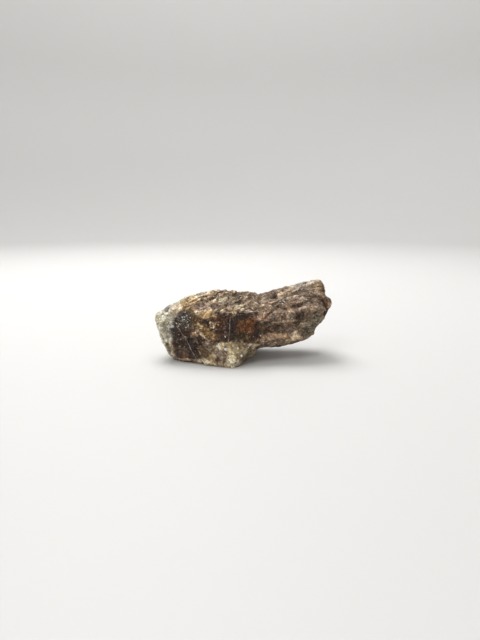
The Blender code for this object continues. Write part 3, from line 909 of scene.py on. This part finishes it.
def skin_tint(points, normals, masks, main_heights, fine_heights, flake_tones):
    """Palette colours mixed by the masks, then patches and veins, then hue drift, the flakes' tones and
    painted light and shade from the relief.
    """
    tones, small = skin_tones(points, main_heights, fine_heights)
    total = sum(masks.values())[:, None]
    tint = sum(masks[name][:, None] * pick(tones[name], PALETTES[name]) for name in PALETTES) / total
    in_front = smooth_step(normals[:, 1], 0.4, 0.1)
    tint = add_patches(tint, points, in_front, small, masks)
    tint = add_veins(tint, points, in_front, small, masks)

    weathered = 1 - masks["glassy"]
    warmth = WARMTH * layered(points, size=3.2, seed=680, layers=3) * weathered
    tint = tint * np.exp(warmth[:, None] * (1, 0, -1.6))
    # The fine relief again paints hollows darker and high points lighter, as painted shade and highlight.
    mottle_and_relief_shade = flake_tones + 0.25 * small + 0.9 * np.clip(fine_heights, -0.4, 0.4) * weathered
    return tint * np.exp(mottle_and_relief_shade)[:, None]


tint = skin_tint(lump_points, lump_normals, masks, main_heights, fine_heights, flake_tones)
print("mean tint in linear light", tint.mean(0).round(3))

# %% [markdown]
# ## What the material needs from the mesh
#
# A mesh can carry numbers and colours on its points under names of their own, and a material reads them
# with an Attribute node. The tint goes there, and the masks that the gloss and the flecks depend on. The
# flecks lie thickly on the pale skins, thinly on the others, and thickest by the blue black top. On the
# glass they are painted glints.

# %% Store tint and masks on the mesh
FLECKED = {"ivory": 0.35, "foot": 0.35, "brow": 0.30, "crust": 0.22}
# On the break, the flecks inside this ellipse are painted glints.
FLECKED_TOP = ((-17.8, 12.0), (3.0, 3.0))  # middle and half size of the flecked part of the break


def store(mesh, name, values):
    """Puts one number, or one colour, on every point of the mesh under a name that a material can read."""
    if values.ndim == 1:
        attribute = mesh.attributes.new(name, "FLOAT", "POINT")
        attribute.data.foreach_set("value", values.astype(np.float32))
        return
    colours = np.concatenate([np.clip(values, 0, 1), np.ones((len(values), 1))], -1)
    attribute = mesh.attributes.new(name, "FLOAT_COLOR", "POINT")
    attribute.data.foreach_set("color", colours.astype(np.float32).ravel())


def fleck_mask(points, masks):
    """How thickly flecks lie: each skin's share where noise is high, and more inside the top's ellipse."""
    glints_near_top = smooth_step(patch_depth(points, (0, 0), *FLECKED_TOP, 0), -0.1, 0.4)
    pale = sum(share * masks[name] for name, share in FLECKED.items())
    scattered = smooth_step(layered(points, size=3.6, seed=1600, layers=3), -0.5, 0.6)
    clustered = smooth_step(layered(points, size=1.8, seed=1620, layers=3), -0.6, 0.35)
    # On the glass, the flecks are painted glints: sparse all over it, clustered near the top.
    flecked = (pale + 0.08 * masks["glassy"]) * scattered + masks["glassy"] * glints_near_top * clustered
    return np.clip(flecked, 0, 1)


store(skin.data, "tint", tint)
store(skin.data, "flecked", fleck_mask(lump_points, masks))
for name in ("glassy", "ivory", "foot"):
    store(skin.data, name, masks[name])
print("stored", [a.name for a in skin.data.attributes if not a.name.startswith(".")])

# %% [markdown]
# ## A small kit for materials
#
# Materials are made of linked nodes. Two helpers keep that short: one sets or links a socket, and one
# adds a node with its settings and inputs in a single call. The rest are the few nodes that come back
# again and again: arithmetic on numbers and on places, a blend of two colours, and a straight ramp.

# %% Helpers for material nodes
def plug(tree, socket, value):
    """Links the socket if the value is another node's output, and sets it otherwise."""
    if isinstance(value, bpy.types.NodeSocket):
        tree.links.new(value, socket)
    else:
        socket.default_value = value


def add_node(tree, kind, settings=None, **inputs):
    """Adds a node, sets its properties, and sets or links its inputs by their names."""
    node = tree.nodes.new("ShaderNode" + kind)
    for name, value in (settings or {}).items():
        setattr(node, name, value)
    for name, value in inputs.items():
        plug(tree, node.inputs[name.replace("_", " ")], value)
    return node


def calculate(tree, operation, first, second=0.0, clamp=False):
    """Blender's Math node on two numbers, held between 0 and 1 if clamp says so."""
    node = add_node(tree, "Math", {"operation": operation, "use_clamp": clamp})
    plug(tree, node.inputs[0], first)
    plug(tree, node.inputs[1], second)
    return node.outputs[0]


def calculate_vector(tree, operation, *values):
    """Blender's Vector Math node: its inputs in order, and the vector or the number that comes out."""
    node = add_node(tree, "VectorMath", {"operation": operation})
    for socket, value in zip(node.inputs, values):
        plug(tree, socket, value)
    return node.outputs["Value" if operation in ("DOT_PRODUCT", "DISTANCE") else "Vector"]


def blend(tree, kind, share, first, second):
    """Blender's Mix node for colours: the kind says how the second goes over the first."""
    node = add_node(tree, "Mix", {"data_type": "RGBA", "blend_type": kind})
    plug(tree, node.inputs[0], share)
    plug(tree, node.inputs[6], first)
    plug(tree, node.inputs[7], second)
    return node.outputs[2]


def spread(tree, value, low, high, new_low, new_high):
    """Maps low to new_low and high to new_high in a straight line, and holds the ends."""
    names = {"From Min": low, "From Max": high, "To Min": new_low, "To Max": new_high, "Value": value}
    node = add_node(tree, "MapRange")
    for name, number in names.items():
        plug(tree, node.inputs[name], number)
    return node.outputs["Result"]


print("six helpers: plug, add_node, calculate, calculate_vector, blend and spread")

# %% [markdown]
# ## Patterns in the material
#
# Three sources feed the material: what the mesh has stored, fine noise, and random cells with three dice
# each. Patterns read Object coordinates, which are metres here, so a pattern's size in millimetres
# becomes a scale of one over that size.

# %% Patterns in the material
def stored(tree, name, kind="Fac"):
    """The number, or with the kind Color the colour, that the mesh carries under that name."""
    return add_node(tree, "Attribute", {"attribute_name": name}).outputs[kind]


def grain(tree, places, size, detail=4.0, rough=0.6):
    """Blender's noise with features of the given size in millimetres, from 0 to 1."""
    node = add_node(tree, "TexNoise", Vector=places, Scale=1 / (size * MM), Detail=detail, Roughness=rough)
    return node.outputs["Fac"]


def random_cells(tree, places, size):
    """Blender's Voronoi cells of a size in millimetres: the node, and three random numbers for each cell."""
    node = add_node(tree, "TexVoronoi", Vector=places, Scale=1 / (size * MM))
    return node, add_node(tree, "SeparateColor", Color=node.outputs["Color"]).outputs


print("a pattern 1 mm wide has a scale of", round(1 / MM))

# %% [markdown]
# ## Grains of colour
#
# The stored tint gives the colour down to a third of a millimetre. Below that, noise darkens and lightens
# it, and cells of about 0.4 mm each get a tone and a hue of their own, because the stone is a mass of
# small crystals. The swing of the tones is strongest in the glass and calmer on the pale skins.

# %% Grains of colour
GRAIN = 0.42  # size of a small crystal in millimetres
NOISE_SWING = (0.42, 1.58)  # darkest and lightest that the fine noise makes the tint
GRAIN_SWING = (0.68, 1.32)
GLASS_SWING = (0.55, 1.60)  # on top of the others, in the glass alone
WARM, COOL = (1.05, 1.0, 0.92, 1), (0.96, 1.0, 1.06, 1)
PALE_CALM = 0.55  # how much of the grains' swing the pale skins keep


def grain_colour(tree, places, lot, glassy, pale):
    """The tint times noise, times each cell's tone, times a hue between warm and cool."""
    fine = grain(tree, places, 0.45, detail=5.0, rough=0.7)
    swing = spread(tree, fine, 0.3, 0.7, *NOISE_SWING)
    colour = blend(tree, "MULTIPLY", 1.0, stored(tree, "tint", "Color"), swing)
    calm = spread(tree, pale, 0.0, 1.0, 1.0, PALE_CALM)
    colour = blend(tree, "MULTIPLY", calm, colour, spread(tree, lot["Red"], 0.0, 1.0, *GRAIN_SWING))
    colour = blend(tree, "MULTIPLY", glassy, colour, spread(tree, lot["Blue"], 0.0, 1.0, *GLASS_SWING))
    return blend(tree, "MULTIPLY", 1.0, colour, blend(tree, "MIX", lot["Green"], WARM, COOL))


print("about", round(1 / GRAIN**2), "small crystals on a square millimetre")

# %% [markdown]
# ## Flecks
#
# Crumbs of pale mineral and small dark pits lie over the colour; on the glass the pale flecks are painted
# glints. Each kind is a set of cells, most of them empty. A fleck fills the middle of a cell, noise
# crumples its outline, and its size varies, so that no two look alike.

# %% Flecks
FLECKS = {  # size in millimetres, chance where few and where many lie, pigment and strength
    "pale crumbs": (0.9, (0.0, 0.30), "cream", 0.50),
    # White grains are painted glints on the glass and pale grains on the weathered skins.
    "white grains": (0.60, (0.0, 0.66), "white", 0.85),
    "tan grains": (0.80, (0.05, 0.06), "tan", 0.40),
    "pale specks": (0.38, (0.06, 0.75), "cream", 0.60),
    "dark pits": (0.90, (0.08, 0.10), "dark brown", 0.60),
}
CRUMPLED = 1.2  # how far noise bends a fleck, as a share of its size
FLECK_SHRINK = 0.30  # how much smaller than the largest a fleck may be
FLECK_RIM = (0.36, 0.46)


def screen_colour(name):
    """A pigment as a node socket wants it: linear light and a fourth number for opacity."""
    return (*to_linear(PIGMENTS[name]).tolist(), 1.0)


def flecks(tree, places, size, likely):
    """Share inside irregular flecks: near a random cell's centre, by a reach that the cell's dice sets."""
    crumple = add_node(tree, "TexNoise", Vector=places, Scale=1.4 / (size * MM), Detail=2.0)
    reach = [CRUMPLED * size * MM] * 3
    bent = calculate_vector(tree, "MULTIPLY_ADD", crumple.outputs["Color"], reach, places)
    cell, dice = random_cells(tree, bent, size)
    shrink = calculate(tree, "MULTIPLY", dice["Green"], FLECK_SHRINK)
    distance = calculate(tree, "ADD", cell.outputs["Distance"], shrink)
    core = spread(tree, distance, *FLECK_RIM, 1.0, 0.0)
    return calculate(tree, "MULTIPLY", core, calculate(tree, "GREATER_THAN", dice["Red"], likely))


def add_flecks(tree, places, colour):
    """Mixes each kind of fleck over the colour, as likely as the stored mask says."""
    flecked = stored(tree, "flecked")
    for size, chance, pigment, amount in FLECKS.values():
        likely = spread(tree, flecked, 0.0, 1.0, 1 - chance[0], 1 - chance[1])
        share = calculate(tree, "MULTIPLY", flecks(tree, places, size, likely), amount)
        colour = blend(tree, "MIX", share, colour, screen_colour(pigment))
    return colour


print(len(FLECKS), "kinds of fleck")

# %% [markdown]
# ## Pale lines in the glass
#
# Three hairline cracks in the break have filled with pale dust. They are thinner than the grid, so they
# are drawn in the material: a share inside a thin straight line, bent by noise and broken up by more.

# %% Pale lines
PALE_LINES = {  # both ends (x, z) as seen from the front, and the width, in millimetres
    "slanting": ((-19.2, 11.2), (-13.4, 2.3), 0.13),
    "upright": ((-3.2, 14.5), (-3.9, 6.9), 0.12),
    "hair": ((-13.2, 12.4), (-11.2, 7.2), 0.08),
}
LINE_WANDER = 1.1  # how far noise bends a line, in millimetres
LINE_SHARE = (0.22, 0.62)  # how plain a line is where it is faint and where it is strong


def pale_line(tree, flat, start, end, width):
    """Share inside a thin line: the place's offset from the start, less the part of it along the line."""
    first = np.array((start[0] - BOX_MIDDLE[0], 0, start[1])) * MM
    line = np.array((end[0] - start[0], 0, end[1] - start[1])) * MM
    away = calculate_vector(tree, "SUBTRACT", flat, first.tolist())
    share = calculate_vector(tree, "DOT_PRODUCT", away, (line / (line @ line)).tolist())
    along = calculate(tree, "ADD", share, 0.0, clamp=True)
    nearest = calculate_vector(tree, "MULTIPLY", line.tolist(), along)
    gap = calculate_vector(tree, "DISTANCE", away, nearest)
    return spread(tree, gap, 0.3 * width * MM, width * MM, 1.0, 0.0)


def add_lines(tree, places, glassy, colour):
    """Mixes the lines over the colour: their share times the glass's mask times a noise that breaks them."""
    wobble = add_node(tree, "TexNoise", Vector=places, Scale=1 / (2.4 * MM), Detail=3.0)
    reach = (LINE_WANDER * MM, 0, LINE_WANDER * MM)
    shifted = calculate_vector(tree, "MULTIPLY_ADD", wobble.outputs["Color"], reach, places)
    flat = calculate_vector(tree, "MULTIPLY", shifted, (1, 0, 1))
    broken = spread(tree, grain(tree, places, 0.9, detail=1.0), 0.42, 0.62, *LINE_SHARE)
    for start, end, width in PALE_LINES.values():
        on_line = pale_line(tree, flat, start, end, width)
        share = calculate(tree, "MULTIPLY", on_line, calculate(tree, "MULTIPLY", glassy, broken))
        colour = blend(tree, "MIX", share, colour, screen_colour("line grey"))
    return colour


lengths = {name: round(math.dist(start, end), 1) for name, (start, end, _) in PALE_LINES.items()}
print("lengths of the pale lines in millimetres:", lengths)

# %% [markdown]
# ## Gloss and sparkle
#
# The crust is rough and dull, the break smooth and glossy, and a few of the small crystals have a glossy
# face. For the sparkle, every cell leans the surface its own way, so that a glossy face flashes where it
# happens to face a light. Grit too fine for the grid is a bump.

# %% Gloss and sparkle
LEAN = 0.55  # how far a crystal face leans, as a share of the surface's own normal
CRYSTAL_GLOSS = 0.75
DULL_SHARE = (0.95, 0.72)  # share of crystals without gloss, off and on the pale skins
DULL, SHINY = (0.62, 0.86), (0.10, 0.28)  # least and most roughness of crust and glass
CRUST_GRIT, GLASS_GRIT = 0.12, 0.02  # bump heights in millimetres


def roughness(tree, places, lot, glassy, pale):
    """Noise between the dull and the shiny range, mixed by the glass's mask or by a crystal's gloss."""
    dull = spread(tree, grain(tree, places, 0.8), 0.3, 0.7, *DULL)
    shiny = spread(tree, grain(tree, places, 1.4), 0.35, 0.65, *SHINY)
    crystal = calculate(tree, "GREATER_THAN", lot["Blue"], spread(tree, pale, 0.0, 1.0, *DULL_SHARE))
    gloss = calculate(tree, "MAXIMUM", glassy, calculate(tree, "MULTIPLY", crystal, CRYSTAL_GLOSS))
    mix = add_node(tree, "Mix", {"data_type": "FLOAT"})
    for index, value in ((0, gloss), (2, dull), (3, shiny)):
        plug(tree, mix.inputs[index], value)
    return mix.outputs[0]


def leaning_normal(tree, places, cell, glassy):
    """The bumped normal plus a random vector for each cell, brought back to a length of one."""
    grit = grain(tree, places, 0.3, detail=3.0, rough=0.6)
    height = calculate(tree, "MULTIPLY", grit, spread(tree, glassy, 0.0, 1.0, CRUST_GRIT, GLASS_GRIT))
    bump = add_node(tree, "Bump", Height=height, Distance=MM, Strength=1.0)
    centred = calculate_vector(tree, "SUBTRACT", cell.outputs["Color"], (0.5, 0.5, 0.5))
    leaning = calculate_vector(tree, "MULTIPLY", centred, (LEAN, LEAN, LEAN))
    return calculate_vector(tree, "NORMALIZE", calculate_vector(tree, "ADD", bump.outputs["Normal"], leaning))


print("a crystal face leans up to", round(math.degrees(math.atan(LEAN / 2))), "degrees along each axis")

# %% [markdown]
# ## The stone's material
#
# One material serves the whole skin, because the skins run into each other. Its index of refraction is
# apatite's. The specular level is lowered a little, because the real break is weathered and the pale
# surroundings would lay a grey veil over it.

# %% The stone's material
APATITE_IOR = 1.63
SPECULAR_LEVEL = 0.28


def stone_material():
    """Colour, roughness and normal from the cells above, linked to one Principled surface."""
    material = bpy.data.materials.new("weathered_apatite")
    material.use_nodes = True
    tree = material.node_tree
    surface = tree.nodes["Principled BSDF"]
    places = add_node(tree, "TexCoord").outputs["Object"]
    glassy = stored(tree, "glassy")
    pale = calculate(tree, "ADD", stored(tree, "ivory"), stored(tree, "foot"), clamp=True)
    cell, lot = random_cells(tree, places, GRAIN)

    colour = grain_colour(tree, places, lot, glassy, pale)
    colour = add_lines(tree, places, glassy, add_flecks(tree, places, colour))
    plug(tree, surface.inputs["Base Color"], colour)
    plug(tree, surface.inputs["Roughness"], roughness(tree, places, lot, glassy, pale))
    plug(tree, surface.inputs["Normal"], leaning_normal(tree, places, cell, glassy))
    surface.inputs["IOR"].default_value = APATITE_IOR
    surface.inputs["Specular IOR Level"].default_value = SPECULAR_LEVEL
    return material


skin.data.materials.append(stone_material())
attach(skin, "root")
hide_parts(SOLID_NAME)
print("material nodes:", len(skin.data.materials[0].node_tree.nodes))

# %% [markdown]
# ## The stage
#
# A plain pale floor that curves up into a round backdrop gives the stone the same quiet surroundings from
# every side. It is a profile turned round the upright axis: flat, then a quarter circle, then straight
# up.

# %% Floor and backdrop
FLOOR_RINGS = (0.12, 0.30)  # radii of the flat floor's inner rings, in metres
FLOOR_RADIUS = 0.55
BEND_RADIUS = 0.30
BACKDROP_TOP = 0.95
FLOOR_COLOUR = (0.60, 0.595, 0.585, 1)
FLOOR_ROUGHNESS = 0.6


def stage_profile(steps=24):
    """Radius and height along the profile: the floor's edge, a quarter circle, then the backdrop's top."""
    angle = np.linspace(0, math.pi / 2, steps)
    radius = FLOOR_RADIUS + BEND_RADIUS * np.sin(angle)
    height = BEND_RADIUS * (1 - np.cos(angle))
    radius = np.concatenate([FLOOR_RINGS, radius, [radius[-1]]])
    height = np.concatenate([[0, 0], height, [BACKDROP_TOP]])
    return radius, height


def make_stage(columns=96):
    """A turned surface: each profile radius times the cosine and the sine of the turn, at its height."""
    radius, height = stage_profile()
    turn = np.arange(columns) / columns * 2 * math.pi
    x, y = radius[:, None] * np.cos(turn), radius[:, None] * np.sin(turn)
    z = np.broadcast_to(height[:, None], x.shape)
    points = np.concatenate([np.stack([x, y, z], -1).reshape(-1, 3), [[0, 0, 0]]])
    index = np.arange(len(radius) * columns).reshape(len(radius), columns)
    beside = np.roll(index, -1, axis=1)
    quads = np.stack([index[:-1], index[1:], beside[1:], beside[:-1]], -1).reshape(-1, 4)
    middle = np.stack([np.full(columns, len(points) - 1), index[0], beside[0]], -1)
    mesh = bpy.data.meshes.new("floor")
    mesh.from_pydata(points.tolist(), [], quads.tolist() + middle.tolist())
    mesh.shade_smooth()
    floor = bpy.data.objects.new("floor", mesh)
    bpy.context.scene.collection.objects.link(floor)
    material = bpy.data.materials.new("pale_floor")
    material.use_nodes = True
    surface = material.node_tree.nodes["Principled BSDF"]
    surface.inputs["Base Color"].default_value = FLOOR_COLOUR
    surface.inputs["Roughness"].default_value = FLOOR_ROUGHNESS
    mesh.materials.append(material)
    print("floor:", len(mesh.polygons), "faces")


make_stage()

# %% [markdown]
# ## Light
#
# The photograph's light is soft and comes from above and behind, so the crest and the tail's top edge
# are bright, the front faces are in gentle shade, and the shadow falls towards the camera. A key panel
# behind and a wide, weak ceiling do that. A small panel on the left and the pale surroundings fill the
# front, and a fourth panel lights the backdrop.

# %% Lights
def make_panel(name, place, aim, size, power):
    """A square panel of light in watts, with its middle at a place in metres, turned to face another."""
    data = bpy.data.lights.new(name, "AREA")
    data.size = size
    data.energy = power
    panel = bpy.data.objects.new(name, data)
    place = np.array(place)
    way = np.array(aim) - place
    panel.location = place
    panel.rotation_euler = (
        math.atan2(math.hypot(way[0], way[1]), -way[2]),
        0,
        math.atan2(way[1], way[0]) - math.pi / 2,
    )
    bpy.context.scene.collection.objects.link(panel)


def make_world(brightness):
    """Surroundings of one warm white, as bright as given."""
    world = bpy.data.worlds.new("surroundings")
    world.use_nodes = True
    world.node_tree.nodes["Background"].inputs["Color"].default_value = (1.0, 0.99, 0.97, 1)
    world.node_tree.nodes["Background"].inputs["Strength"].default_value = brightness
    bpy.context.scene.world = world


make_panel("key", place=(-0.10, 0.20, 0.42), aim=(0, 0, 0.01), size=0.25, power=1.7)
make_panel("ceiling", place=(0, 0.10, 1.10), aim=(0, 0.10, 0), size=1.2, power=5.6)
make_panel("front fill", place=(-0.22, -0.30, 0.42), aim=(0, 0, 0.01), size=0.20, power=0.5)
make_panel("backdrop light", place=(0, 0.25, 0.75), aim=(0, 0.85, 0.25), size=0.5, power=2.2)
make_world(brightness=0.2)
bpy.context.scene.view_settings.view_transform = "Standard"
print("lights:", [data.name for data in bpy.data.lights])
